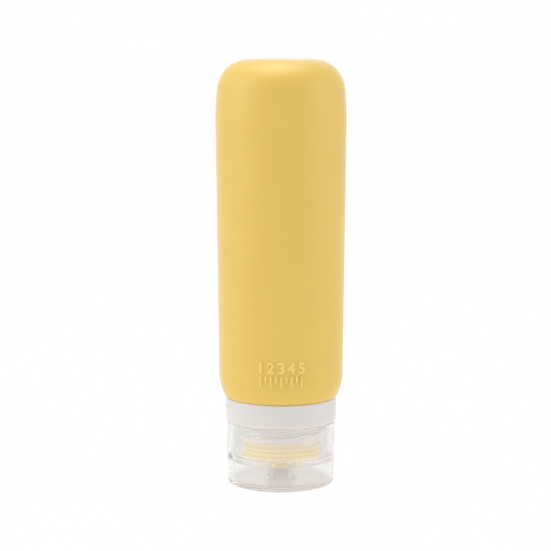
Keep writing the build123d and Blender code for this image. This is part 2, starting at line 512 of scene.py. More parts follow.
class NodeSheet:
    """Adds nodes to one node tree and joins their sockets."""

    def __init__(self, tree: bpy.types.NodeTree) -> None:
        """Takes the tree to work on."""
        self.tree = tree

    def add(self, kind: str, **settings: object) -> bpy.types.Node:
        """Adds a node and sets its properties.

        Args:
            kind: The node's type name.
            settings: Its properties by name.

        Returns:
            The node.
        """
        node = self.tree.nodes.new(kind)
        for name, value in settings.items():
            setattr(node, name, value)
        return node

    def join(self, source: Socket, target: Socket) -> None:
        """Joins an output to an input."""
        self.tree.links.new(source, target)

    def work_out(self, operation: str, first: Socket, second: Socket) -> Socket:
        """Works out a number from two others.

        Args:
            operation: The Math node's operation.
            first: The first number.
            second: The second number.

        Returns:
            The result's socket.
        """
        node = self.add("ShaderNodeMath", operation=operation)
        self.join(first, node.inputs[0])
        self.join(second, node.inputs[1])
        return node.outputs["Value"]

    def spread(
        self, source: Socket, low: float, high: float, bottom: float = 0.0, top: float = 1.0
    ) -> Socket:
        """Spreads a mask over a new range.

        Args:
            source: The mask.
            low: The value where the mask is at its bottom.
            high: The value where the mask is at its top.
            bottom: The mask's lowest value.
            top: The mask's highest value.

        Returns:
            The new value's socket.
        """
        node = self.add("ShaderNodeMapRange")
        self.join(source, node.inputs["Value"])
        set_inputs(node, {"From Min": bottom, "From Max": top, "To Min": low, "To Max": high})
        return node.outputs["Result"]

    def blend(self, mask: Socket, first: Socket | Colour, second: Socket | Colour) -> Socket:
        """Blends two colours by a mask.

        Args:
            mask: Zero for the first colour and one for the second.
            first: The first colour, in linear light, or its socket.
            second: The second colour or its socket.

        Returns:
            The blended colour's socket.
        """
        node = self.add("ShaderNodeMix", data_type="RGBA")
        self.join(mask, node.inputs[0])
        for colour, target in ((first, node.inputs[6]), (second, node.inputs[7])):
            if isinstance(colour, Socket):
                self.join(colour, target)
            else:
                target.default_value = (*colour, 1.0)
        return node.outputs[2]

    def mix_surface(self, share: Socket, first: Socket, second: Socket) -> None:
        """Gives a material a mix of two shaders.

        Args:
            share: How much of the second shader shows.
            first: The first shader.
            second: The second shader.
        """
        mix = self.add("ShaderNodeMixShader")
        for source, target in zip((share, first, second), mix.inputs):
            self.join(source, target)
        self.join(mix.outputs["Shader"], self.tree.nodes["Material Output"].inputs["Surface"])

    def axes(self) -> bpy.types.Node:
        """Finds a point's places along the object's own axes.

        Returns:
            A node whose outputs X, Y and Z are those places.
        """
        place = self.add("ShaderNodeTexCoord")
        parts = self.add("ShaderNodeSeparateXYZ")
        self.join(place.outputs["Object"], parts.inputs["Vector"])
        return parts

    def low_end(self, ground: Socket, colour: Colour, height: float, reach: float) -> Socket:
        """Blends a piece's colour into another one towards its low end.

        Args:
            ground: The piece's colour.
            colour: The colour of its low end, in linear light.
            height: Where the low end starts, in millimetres.
            reach: How far the blend reaches above that.

        Returns:
            The blended colour's socket.
        """
        low = self.spread(self.axes().outputs["Z"], 1.0, 0.0, height * MM, (height + reach) * MM)
        return self.blend(low, ground, colour)

    def noise(self, place: Socket, scale: Socket, detail: float = 2.0, rough: float = 0.5) -> Socket:
        """Adds a cloudy mask.

        Args:
            place: The point's place.
            scale: Clouds per metre.
            detail: How many finer layers it has.
            rough: How strong the finer layers are.

        Returns:
            The mask's socket.
        """
        node = self.add("ShaderNodeTexNoise", noise_dimensions="3D")
        self.join(place, node.inputs["Vector"])
        self.join(scale, node.inputs["Scale"])
        set_inputs(node, {"Detail": detail, "Roughness": rough})
        return node.outputs["Fac"]

    def bump(self, height: Socket, distance: float, under: Socket | None = None) -> Socket:
        """Raises and lowers a surface by a mask.

        Args:
            height: The mask.
            distance: How far the surface moves, in millimetres.
            under: The normal of a bump under this one.

        Returns:
            The new normal's socket.
        """
        node = self.add("ShaderNodeBump")
        set_inputs(node, {"Strength": 1.0, "Distance": distance * MM})
        self.join(height, node.inputs["Height"])
        if under is not None:
            self.join(under, node.inputs["Normal"])
        return node.outputs["Normal"]


class SurfaceDetail:
    """The shared effects: a moulded surface's grain and unevenness, and fine handling scuffs."""

    stroke_angles = (0.5, 2.1)
    stroke_squeeze = 0.06
    stroke_range = (0.64, 0.74)
    patch_range = (0.45, 0.65)

    def __init__(self) -> None:
        """Builds both node groups once."""
        self.grain = self._grain_group()
        self.scuffs = self._scuff_group()

    @staticmethod
    def _group(name: str, inputs: dict[str, float], outputs: Sequence[str]) -> bpy.types.NodeTree:
        """Starts a node group with number sockets.

        Args:
            name: The group's name.
            inputs: The inputs and their usual values.
            outputs: The outputs' names.

        Returns:
            The group's tree.
        """
        tree = bpy.data.node_groups.new(name, "ShaderNodeTree")
        for label, value in inputs.items():
            entry = tree.interface.new_socket(name=label, in_out="INPUT", socket_type="NodeSocketFloat")
            entry.default_value = value
        for label in outputs:
            tree.interface.new_socket(name=label, in_out="OUTPUT", socket_type="NodeSocketFloat")
        return tree

    def _grain_group(self) -> bpy.types.NodeTree:
        """Makes the moulded grain: fine pits, soft mottling and slow unevenness of the wall.

        Returns:
            The group's tree.
        """
        tree = self._group(
            "moulded_grain",
            {"Grains per metre": 3000.0, "Mottles per metre": 120.0, "Waves per metre": 30.0},
            ("Grain", "Mottle", "Wave"),
        )
        sheet = NodeSheet(tree)
        start = sheet.add("NodeGroupInput")
        end = sheet.add("NodeGroupOutput")
        place = sheet.add("ShaderNodeTexCoord").outputs["Object"]
        for label, scale, detail, rough in (
            ("Grain", "Grains per metre", 3.0, 0.6),
            ("Mottle", "Mottles per metre", 2.0, 0.5),
            ("Wave", "Waves per metre", 0.0, 0.5),
        ):
            sheet.join(sheet.noise(place, start.outputs[scale], detail, rough), end.inputs[label])
        return tree

    def _scuff_group(self) -> bpy.types.NodeTree:
        """Makes fine short scuffs that cross each other, gathered in patches.

        Returns:
            The group's tree.
        """
        tree = self._group("fine_scuffs", {"Scuffs per metre": 900.0, "Patches per metre": 60.0}, ("Scuffs",))
        sheet = NodeSheet(tree)
        start = sheet.add("NodeGroupInput")
        end = sheet.add("NodeGroupOutput")
        place = sheet.add("ShaderNodeTexCoord").outputs["Object"]
        strokes = []
        for angle in self.stroke_angles:
            stretch = sheet.add("ShaderNodeMapping")
            squeeze = (1.0, self.stroke_squeeze, 1.0)
            set_inputs(stretch, {"Rotation": (angle, angle / 2, angle), "Scale": squeeze})
            sheet.join(place, stretch.inputs["Vector"])
            scale = start.outputs["Scuffs per metre"]
            stroke = sheet.noise(stretch.outputs["Vector"], scale, detail=1.0)
            strokes.append(sheet.spread(stroke, 0.0, 1.0, *self.stroke_range))
        either = sheet.work_out("MAXIMUM", strokes[0], strokes[1])
        patch = sheet.noise(place, start.outputs["Patches per metre"])
        gathered = sheet.spread(patch, 0.0, 1.0, *self.patch_range)
        sheet.join(sheet.work_out("MULTIPLY", either, gathered), end.inputs["Scuffs"])
        return tree

    @staticmethod
    def place(sheet: NodeSheet, group: bpy.types.NodeTree, *scales: float) -> bpy.types.Node:
        """Places one of the groups in a material.

        Args:
            sheet: The material's nodes.
            group: The group.
            scales: The values of its inputs, each in counts per metre.

        Returns:
            The group's node.
        """
        node = sheet.add("ShaderNodeGroup", node_tree=group)
        for socket, scale in zip(node.inputs, scales):
            socket.default_value = scale
        return node


def start_material(name: str) -> tuple[bpy.types.Material, NodeSheet, bpy.types.Node]:
    """Starts a material with a Principled shader.

    Args:
        name: The material's name.

    Returns:
        The material, its node sheet and its shader.
    """
    material = bpy.data.materials.new(name)
    material.use_nodes = True
    sheet = NodeSheet(material.node_tree)
    return material, sheet, material.node_tree.nodes["Principled BSDF"]


@dataclass(frozen=True)
class SoftSilicone:
    """Matte silicone: fine grain, faint mottling, a weak soft coat and light that soaks in a little, with
    painted light on a lighter low end where one is given.
    """

    name: str
    colour: Colour
    paler: Colour
    roughness: float = 0.5
    bump: float = 0.035
    # painted_light_end: a lighter colour for the low end, painted light where that end sits in shade inside
    # the cap
    painted_light_end: Colour | None = None
    painted_light_height: float = 13.0
    rough_spread: float = 0.06
    grains: tuple[float, float, float] = (2600.0, 70.0, 26.0)
    fade: float = 0.3
    unevenness: float = 0.25
    soaking: float = 1.2

    def material(self, detail: SurfaceDetail) -> bpy.types.Material:
        """Builds the material.

        Args:
            detail: The shared effects.

        Returns:
            The material.
        """
        material, sheet, shader = start_material(self.name)
        grain = detail.place(sheet, detail.grain, *self.grains)
        ground = sheet.blend(grain.outputs["Mottle"], self.colour, self.paler)
        # Painted light: the low end is blended into the lighter colour
        if self.painted_light_end:
            ground = sheet.low_end(ground, self.painted_light_end, self.painted_light_height, self.fade)
        sheet.join(ground, shader.inputs["Base Color"])
        low, high = self.roughness - self.rough_spread, self.roughness + self.rough_spread
        rough = sheet.spread(grain.outputs["Grain"], low, high, *GRAIN_RANGE)
        sheet.join(rough, shader.inputs["Roughness"])
        slow = sheet.bump(grain.outputs["Wave"], self.unevenness)
        sheet.join(sheet.bump(grain.outputs["Grain"], self.bump, slow), shader.inputs["Normal"])
        set_inputs(
            shader,
            {
                "Specular IOR Level": 1.0,
                "IOR": 1.41,
                "Subsurface Weight": 0.12,
                "Subsurface Radius": (1.0, 0.6, 0.2),
                "Subsurface Scale": self.soaking * MM,
                "Coat Weight": 0.35,
                "Coat Roughness": 0.45,
                "Sheen Weight": 0.3,
                "Sheen Roughness": 0.35,
            },
        )
        return material


@dataclass(frozen=True)
class SatinCollar:
    """White satin plastic with faint scuffs; its tube is painted lighter and warmer below the skirt's shade,
    and the yellow lip's light is painted on it above the lip.
    """

    name: str = "white_satin_plastic"
    colour: Colour = (0.69, 0.655, 0.63)
    shaded: Colour = (0.655, 0.62, 0.595)
    # tube: a lighter, warmer colour below the skirt, painted light in the skirt's shade
    tube: Colour = (0.775, 0.705, 0.645)
    tube_painted_light_height: float = 19.4
    # painted_lip_glow: yellow light from the lip, painted on the tube just above it
    painted_lip_glow: Colour = (0.90, 0.675, 0.39)
    lip_glow_height: float = 13.5
    tube_painted_light_fade: float = 0.3
    lip_glow_fade: float = 1.4
    roughness: float = 0.34
    rough_spread: float = 0.08
    wear: float = 0.14
    bump: float = 0.01
    soaking: float = 2.0
    grains: tuple[float, float, float] = (3800.0, 160.0, 60.0)
    scuffing: tuple[float, float] = (1500.0, 110.0)

    def material(self, detail: SurfaceDetail) -> bpy.types.Material:
        """Builds the material.

        Args:
            detail: The shared effects.

        Returns:
            The material.
        """
        material, sheet, shader = start_material(self.name)
        grain = detail.place(sheet, detail.grain, *self.grains)
        scuffs = detail.place(sheet, detail.scuffs, *self.scuffing)
        ground = sheet.blend(grain.outputs["Mottle"], self.colour, self.shaded)
        # Painted light: the tube below the skirt is lighter, and the yellow lip's light is painted above the
        # lip
        ground = sheet.low_end(ground, self.tube, self.tube_painted_light_height, self.tube_painted_light_fade)
        ground = sheet.low_end(ground, self.painted_lip_glow, self.lip_glow_height, self.lip_glow_fade)
        sheet.join(ground, shader.inputs["Base Color"])
        rougher = self.roughness + self.rough_spread
        satin = sheet.spread(grain.outputs["Grain"], self.roughness, rougher, *GRAIN_RANGE)
        worn = sheet.spread(scuffs.outputs["Scuffs"], 0.0, self.wear)
        sheet.join(sheet.work_out("ADD", satin, worn), shader.inputs["Roughness"])
        sheet.join(sheet.bump(grain.outputs["Grain"], self.bump), shader.inputs["Normal"])
        set_inputs(
            shader,
            {
                "Subsurface Weight": 0.4,
                "Subsurface Radius": (1.0, 0.9, 0.8),
                "Subsurface Scale": self.soaking * MM,
            },
        )
        return material


@dataclass(frozen=True)
class ClearPlastic:
    """Clear moulded plastic with a little haze: flow ripple, faint scuffs and a greyer core that is painted
    shade.
    """

    name: str
    tint: Colour = (0.915, 0.912, 0.905)
    # painted_shade_core: a greyer colour painted on the nozzle's root and the lid's foot, where the light
    # through the thick plastic is dimmer
    painted_shade_core: Colour = (0.75, 0.70, 0.68)
    core_radius: float = 5.6
    foot_height: float = 1.4
    core_fade: float = 1.0
    clearness: float = 0.93
    roughness: float = 0.11
    ior: float = 1.49
    ripple: float = 0.03
    wear: float = 0.10
    passed: Colour = (0.995, 0.995, 0.992)
    grains: tuple[float, float, float] = (5200.0, 300.0, 130.0)
    scuffing: tuple[float, float] = (1300.0, 90.0)

    def material(self, detail: SurfaceDetail) -> bpy.types.Material:
        """Builds the material.

        Args:
            detail: The shared effects.

        Returns:
            The material.
        """
        material, sheet, shader = start_material(self.name)
        grain = detail.place(sheet, detail.grain, *self.grains)
        scuffs = detail.place(sheet, detail.scuffs, *self.scuffing)
        # Painted shade: the nozzle's root and the lid's foot are blended to the greyer core colour
        sheet.join(sheet.blend(self.painted_shade_places(sheet), self.tint, self.painted_shade_core), shader.inputs["Base Color"])
        rough = sheet.spread(scuffs.outputs["Scuffs"], self.roughness, self.roughness + self.wear)
        sheet.join(rough, shader.inputs["Roughness"])
        sheet.join(sheet.bump(grain.outputs["Wave"], self.ripple), shader.inputs["Normal"])
        set_inputs(shader, {"Transmission Weight": self.clearness, "IOR": self.ior})
        path = sheet.add("ShaderNodeLightPath")
        passing = sheet.work_out("MAXIMUM", path.outputs["Is Shadow Ray"], path.outputs["Is Diffuse Ray"])
        through = sheet.add("ShaderNodeBsdfTransparent")
        set_inputs(through, {"Color": (*self.passed, 1.0)})
        sheet.mix_surface(passing, shader.outputs["BSDF"], through.outputs["BSDF"])
        return material

    def painted_shade_places(self, sheet: NodeSheet) -> Socket:
        """Marks the nozzle's root and the lid's foot, where much plastic lies one behind another and the
        painted shade goes.

        Args:
            sheet: The tree's nodes.

        Returns:
            A socket that runs from zero in the thin walls to one in the thick places.
        """
        parts = sheet.axes()
        across = sheet.add("ShaderNodeCombineXYZ")
        sheet.join(parts.outputs["X"], across.inputs["X"])
        sheet.join(parts.outputs["Y"], across.inputs["Y"])
        radius = sheet.add("ShaderNodeVectorMath", operation="LENGTH")
        sheet.join(across.outputs["Vector"], radius.inputs[0])
        thin_radius = self.core_radius + self.core_fade
        painted_light_height = self.foot_height + self.core_fade
        middle = sheet.spread(radius.outputs["Value"], 1.0, 0.0, self.core_radius * MM, thin_radius * MM)
        foot = sheet.spread(parts.outputs["Z"], 1.0, 0.0, self.foot_height * MM, painted_light_height * MM)
        return sheet.work_out("MAXIMUM", middle, foot)


# Sizes that more than one piece follows, in millimetres


@dataclass(frozen=True)
class Stack:
    """The levels and radii at which the cap's pieces meet, measured from the face of the lid."""

    nozzle_tip: float = 1.7
    lid_height: float = 8.1
    deck_bottom: float = 8.2
    deck_top: float = 9.2
    web_top: float = 10.0
    rim_top: float = 10.4
    gasket_top: float = 11.6
    tube_end: float = 12.9
    cap_top: float = 19.7
    collar_bottom: float = 19.8
    sleeve_top: float = 23.1
    web_bottom: float = 25.6
    collar_top: float = 27.1
    body_top: float = 130.5
    cup_bottom: float = 6.9
    well_floor: float = 6.4
    neck_radius: float = 10.2
    neck_bore: float = 8.4
    tube_radius: float = 12.1
    seat_radius: float = 12.5
    sleeve_root: float = 13.35
    sleeve_radius: float = 14.5
    cap_bore: float = 15.4
    cap_radius: float = 16.6
    lid_radius: float = 16.5
    lid_bore: float = 15.3
    nozzle_bore: float = 2.3
    well_radius: float = 3.1


@dataclass(frozen=True)
class HingeSizes:
    """The lid's hinge, drawn towards +X and then turned to its place at the back right."""

    azimuth: float = 25.0
    axis_radius: float = 15.0
    axis_height: float = 8.15
    barrel: float = 1.15
    swing: float = 1.4
    half_knuckle: float = 2.6
    ear_start: float = 2.85
    ear_end: float = 4.85
    trunnion: float = 0.6
    trunnion_length: float = 1.4
    socket: float = 0.65
    window_height: float = 2.4
    window_back: float = 0.3
    pin_sides: int = 24

    @property
    def centre(self) -> tuple[float, float]:
        """The hinge axis's place along X and Z."""
        return self.axis_radius, self.axis_height


# Sub-assemblies


@dataclass
class SiliconeBottle:
    """The yellow squeeze tube with its neck and lip, and the raised scale on its front."""

    stack: Stack
    skin: float = 0.02
    base_radius: float = 18.8
    base_round: float = 9.4
    crown_radius: float = 20.0
    crown_height: float = 114.8
    crown_round: float = 60.0
    waist_radius: float = 19.05
    waist_height: float = 35.0
    shoulder_radius: float = 17.0
    shoulder_round: float = 0.7
    wall: float = 2.0
    cavity_round: float = 1.2
    shoulder_trim: float = 1.7
    neck_flare: float = 1.5
    lip_round: float = 0.4
    scale_height: float = 38.75
    tick_height: float = 34.8
    digit_size: float = 4.5
    digit_gap: float = 3.1
    digit_flank: float = 0.12
    digit_round: float = 0.22
    digit_inset: float = -0.02
    tick_long: float = 3.2
    tick_short: float = 2.0
    tick_half: float = 0.32
    tick_root: float = 0.2
    tick_round: float = 0.2
    raise_height: float = 0.35
    # The lighter yellow below 13 mm is painted light on the lip, which sits in the collar's shade inside the
    # cap
    finish: SoftSilicone = field(
        default_factory=lambda: SoftSilicone(
            "yellow_silicone", (0.686, 0.446, 0.054), (0.724, 0.486, 0.069), painted_light_end=(0.93, 0.70, 0.24)
        )
    )
    # The raised scale's lighter yellow is a painted highlight: a lit copy of the tube's silicone
    painted_highlight_finish: SoftSilicone = field(
        default_factory=lambda: SoftSilicone(
            "raised_silicone_painted_highlight", (0.80, 0.557, 0.122), (0.84, 0.597, 0.142), roughness=0.44
        )
    )

    def shoulder_corner(self, inset: float, trim: float, facets: int) -> Corner:
        """Finds the corner whose rounding makes the shoulder's curve, tangent to the tapered side.

        Args:
            inset: How far the outline lies inside the skin.
            trim: The length left at the shoulder for the next rounding.
            facets: How many faces the curve has.

        Returns:
            The corner.
        """
        waist = Vector((self.waist_radius - inset, self.waist_height))
        shoulder = Vector((self.shoulder_radius - inset, self.stack.collar_top + inset))
        crown = Vector((self.crown_radius - inset, self.crown_height))
        side = (waist - crown).normalized()
        chord = shoulder - waist
        turn = side.angle(chord)
        length = chord.length / 2 / math.cos(turn)
        corner = waist + side * length
        return Corner(corner.x, corner.y, (length - trim) / math.tan(turn), facets)

    def outline(self) -> list[Corner]:
        """Lists the corners of the tube's wall, outside first, then back up the bore.

        Returns:
            The outline's corners.
        """
        stack = self.stack
        shoulder = self.shoulder_radius - self.skin
        cavity_floor = stack.collar_top + self.wall
        cavity_top = stack.body_top - self.wall
        return [
            Corner(0.0, stack.body_top),
            Corner(self.base_radius - self.skin, stack.body_top, self.base_round, facets=26),
            Corner(self.crown_radius - self.skin, self.crown_height, self.crown_round, facets=8),
            self.shoulder_corner(self.skin, self.shoulder_round, facets=16),
            Corner(shoulder, stack.collar_top + self.skin, self.shoulder_round, facets=6),
            Corner(stack.neck_radius, stack.collar_top + self.skin),
            Corner(stack.neck_radius, stack.tube_end),
            Corner(stack.tube_radius - self.skin, stack.tube_end),
            Corner(stack.tube_radius - self.skin, stack.gasket_top, self.lip_round),
            Corner(stack.neck_bore, stack.gasket_top, *CRISP),
            Corner(stack.neck_bore, cavity_floor - self.neck_flare),
            Corner(stack.neck_bore + self.neck_flare, cavity_floor),
            Corner(self.shoulder_radius - self.wall, cavity_floor, self.cavity_round, facets=6),
            self.shoulder_corner(self.wall, self.shoulder_trim, facets=8),
            Corner(self.crown_radius - self.wall, self.crown_height, self.crown_round, facets=6),
            Corner(self.base_radius - self.wall, cavity_top, self.base_round - self.wall, facets=16),
            Corner(0.0, cavity_top),
        ]

    def scale_marks(self) -> Shape:
        """Makes plain digits over a row of ticks, wrapped round the front of the tube.

        Returns:
            The raised marks.
        """
        marks = bmesh.new()
        digits = "12345"
        for index, digit in enumerate(digits):
            across = (index - (len(digits) - 1) / 2) * self.digit_gap
            self.wrap(marks, self.digit_mesh(digit), across, self.scale_height)
        tick_count = 9
        for index in range(tick_count):
            across = (index - (tick_count - 1) / 2) * self.digit_gap / 2
            tall = self.tick_short if index % 2 else self.tick_long
            low = (-self.tick_half, -self.raise_height, -tall / 2)
            tick = block(low, (self.tick_half, self.tick_root, tall / 2), self.tick_round)
            lift = (self.tick_long - tall) / 2
            self.wrap(marks, mesh_of(tick, "tick"), across, self.tick_height + lift)
        return marks

    def digit_mesh(self, digit: str) -> bpy.types.Mesh:
        """Makes one digit as a raised mesh that stands in the XZ plane.

        Args:
            digit: The digit.

        Returns:
            The mesh, in metres.
        """
        curve = bpy.data.curves.new("digit", "FONT")
        curve.body = digit
        curve.size = self.digit_size * MM
        curve.align_x = "CENTER"
        curve.align_y = "CENTER"
        curve.extrude = self.digit_flank * MM
        curve.bevel_depth = self.digit_round * MM
        curve.bevel_resolution = 2
        curve.offset = self.digit_inset * MM
        curve.resolution_u = 6
        item = linked("digit", curve)
        bpy.context.view_layer.update()
        mesh = bpy.data.meshes.new_from_object(item)
        bpy.data.objects.remove(item)
        bpy.data.curves.remove(curve)
        mesh.transform(Matrix.Rotation(math.pi / 2, 4, "X"))
        return mesh

    def wrap(self, marks: Shape, mesh: bpy.types.Mesh, across: float, height: float) -> None:
        """Adds a flat mark to the set, bent round the front of the tube.

        Args:
            marks: The set, added to in place.
            mesh: The flat mark, which is used up.
            across: Its place along the skin from the middle of the front, in millimetres.
            height: Its place up the tube.
        """
        old = len(marks.verts)
        marks.from_mesh(mesh)
        bpy.data.meshes.remove(mesh)
        marks.verts.ensure_lookup_table()
        slope = (self.crown_radius - self.waist_radius) / (self.crown_height - self.waist_height)
        for vert in marks.verts[old:]:
            up = height + vert.co.z / MM
            skin = self.waist_radius + (up - self.waist_height) * slope - self.skin
            angle = (across + vert.co.x / MM) / skin
            radius = skin - vert.co.y / MM
            vert.co = Vector((radius * math.sin(angle), -radius * math.cos(angle), up)) * MM

    def build(self, detail: SurfaceDetail) -> None:
        """Builds the tube and its scale.

        Args:
            detail: The shared effects.
        """
        material = self.finish.material(detail)
        tube = piece(Turning(self.outline(), steps=192).mesh(), "silicone_tube", material, "bottle")
        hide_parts("bottle_body")
        report_fit(tube, "bottle_body")
        scale = piece(self.scale_marks(), "raised_scale", self.painted_highlight_finish.material(detail), "bottle")


@dataclass
class ScrewCollar:
    """The rigid white collar with its outer skirt, threaded tube and the fine ribs below its thread."""

    stack: Stack
    bore: float = 10.25
    radius: float = 16.95
    skirt_wall: float = 1.5
    lower_round: float = 0.45
    upper_round: float = 0.5
    thread_start: float = 14.5
    thread_turns: float = 2.25
    rib_count: int = 4
    rib_width: float = 0.35
    rib_height: float = 2.3
    rib_proud: float = 0.2
    rib_lift: float = 1.2
    rib_root: float = 0.25
    rib_round: float = 0.07
    rib_azimuth: float = -33.0
    rib_step: float = 5.0
    finish: SatinCollar = field(default_factory=SatinCollar)

    def outline(self) -> list[Corner]:
        """Lists the corners of the collar's section.

        Returns:
            The outline's corners.
        """
        stack = self.stack
        skirt_bore = self.radius - self.skirt_wall
        return [
            Corner(self.bore, stack.tube_end),
            Corner(stack.tube_radius, stack.tube_end, *SOFT),
            Corner(stack.tube_radius, stack.web_bottom, *BLENDED),
            Corner(skirt_bore, stack.web_bottom, *BLENDED),
            Corner(skirt_bore, stack.collar_bottom, *CRISP),
            Corner(self.radius, stack.collar_bottom, self.lower_round, facets=7),
            Corner(self.radius, stack.collar_top, self.upper_round),
            Corner(self.bore, stack.collar_top),
        ]

    def ribs(self) -> Shape:
        """Makes the short upright ribs below the thread.

        Returns:
            The ribs in one shape.
        """
        half = self.rib_width / 2
        inner = self.stack.tube_radius - self.rib_root
        outer = self.stack.tube_radius + self.rib_proud
        low = self.stack.tube_end + self.rib_lift
        ribs = []
        for index in range(self.rib_count):
            rib = block((inner, -half, low), (outer, half, low + self.rib_height), self.rib_round)
            ribs.append(turned_by(rib, self.rib_azimuth + self.rib_step * index))
        return together(ribs)

    def build(self, detail: SurfaceDetail) -> None:
        """Builds the collar.

        Args:
            detail: The shared effects.
        """
        thread = Thread(self.stack.tube_radius, Side.OUTWARDS, self.thread_start, self.thread_turns)
        shape = combined(Turning(self.outline()).mesh(), thread.mesh(), Cut.ADD)
        shape = combined(shape, self.ribs(), Cut.ADD)
        collar = piece(shape, "screw_collar", self.finish.material(detail), "bottle")
        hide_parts("neck_collar")
        report_fit(collar, "neck_collar")


@dataclass
class ClearCap:
    """The clear double-walled cap with its deck, threaded sleeve, spigot, nozzle, ears and thumb notch."""

    stack: Stack
    hinge: HingeSizes
    edge_round: float = 0.25
    spigot_radius: float = 14.9
    spigot_wall: float = 1.0
    spigot_height: float = 0.8
    nozzle_radius: float = 3.9
    nozzle_root: float = 5.0
    nozzle_tip_radius: float = 3.75
    nozzle_cone: float = 1.7
    tip_round: float = 0.4
    cone_round: float = 0.8
    spigot_root: float = 0.1
    thread_start: float = 16.1
    thread_turns: float = 1.75
    thumb_ball: float = 10.0
    thumb_depth: float = 0.5
    ear_inset: float = 0.01
    overrun: float = 1.0
    socket_overlap: float = 0.25

    def outline(self) -> list[Corner]:
        """Lists the corners of the cap's section: from the nozzle outwards, up, and down the sleeve.

        Returns:
            The outline's corners.
        """
        stack = self.stack
        spigot_bore = self.spigot_radius - self.spigot_wall
        spigot_end = stack.deck_bottom - self.spigot_height
        return [
            Corner(stack.well_radius, stack.deck_top, *CRISP),
            Corner(stack.well_radius, stack.well_floor, *FINE),
            Corner(stack.nozzle_bore, stack.well_floor, *CRISP),
            Corner(stack.nozzle_bore, stack.nozzle_tip, *CRISP),
            Corner(self.nozzle_tip_radius, stack.nozzle_tip, self.tip_round, facets=6),
            Corner(self.nozzle_radius, stack.deck_bottom - self.nozzle_cone, self.cone_round, facets=4),
            Corner(self.nozzle_root, stack.deck_bottom, *BLENDED),
            Corner(spigot_bore, stack.deck_bottom, *FINE),
            Corner(spigot_bore, spigot_end, *CRISP),
            Corner(self.spigot_radius, spigot_end, *CRISP),
            Corner(self.spigot_radius, stack.deck_bottom, self.spigot_root, facets=2),
            Corner(stack.cap_radius, stack.deck_bottom, self.edge_round),
            Corner(stack.cap_radius, stack.cap_top, self.edge_round),
            Corner(stack.cap_bore, stack.cap_top, *FINE),
            Corner(stack.cap_bore, stack.deck_top, *SOFT),
            Corner(stack.sleeve_radius, stack.deck_top, *SOFT),
            Corner(stack.sleeve_radius, stack.sleeve_top, *EASED),
            Corner(stack.sleeve_root, stack.sleeve_top, *EASED),
            Corner(stack.sleeve_root, stack.tube_end, *CRISP),
            Corner(stack.seat_radius, stack.tube_end, *CRISP),
            Corner(stack.seat_radius, stack.deck_top, *FINE),
        ]

    def cuts(self) -> Shape:
        """Makes the room for the lid's knuckle and the thumb notch opposite.

        Returns:
            One cutting shape.
        """
        hinge = self.hinge
        room = cross_bar(hinge.swing, -hinge.ear_start, hinge.ear_start, hinge.centre)
        window = block(
            (hinge.axis_radius, -hinge.ear_start, hinge.axis_height - hinge.swing),
            (self.stack.cap_radius + self.overrun, hinge.ear_start, hinge.axis_height + hinge.swing),
        )
        notch_centre = -(self.stack.cap_radius + self.thumb_ball - self.thumb_depth)
        notch = ball(self.thumb_ball, (notch_centre, 0.0, self.stack.deck_bottom))
        return together([combined(room, window, Cut.ADD), notch])

    def ears(self) -> Shape:
        """Makes both ears, trimmed to the cap's outer wall.

        Returns:
            The ears in one shape.
        """
        hinge = self.hinge
        bars = bar_pair(hinge.barrel, hinge.ear_start, hinge.ear_end, hinge.centre)
        rim = self.stack.cap_radius - self.ear_inset
        low, high = hinge.axis_height - hinge.swing, self.stack.cap_top - self.overrun
        limit = Turning([Corner(0.0, low), Corner(rim, low), Corner(rim, high), Corner(0.0, high)])
        return combined(bars, limit.mesh(), Cut.LIMIT)

    def sockets(self) -> Shape:
        """Makes the sockets' bores through both ears.

        Returns:
            One cutting shape.
        """
        hinge = self.hinge
        near = hinge.ear_start - self.socket_overlap
        return bar_pair(hinge.socket, near, hinge.ear_end + self.overrun, hinge.centre, hinge.pin_sides)

    def build(self, material: bpy.types.Material) -> None:
        """Builds the cap.

        Args:
            material: The clear plastic.
        """
        thread = Thread(self.stack.sleeve_root, Side.INWARDS, self.thread_start, self.thread_turns)
        shape = combined(Turning(self.outline()).mesh(), self.cuts(), Cut.REMOVE)
        shape = combined(shape, self.ears(), Cut.ADD)
        shape = combined(shape, self.sockets(), Cut.REMOVE)
        shape = combined(shape, thread.mesh(), Cut.ADD)
        cap = piece(turned_by(shape, self.hinge.azimuth), "clear_cap_base", material, "cap")
        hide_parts("cap_base")
        report_fit(cap, "cap_base")


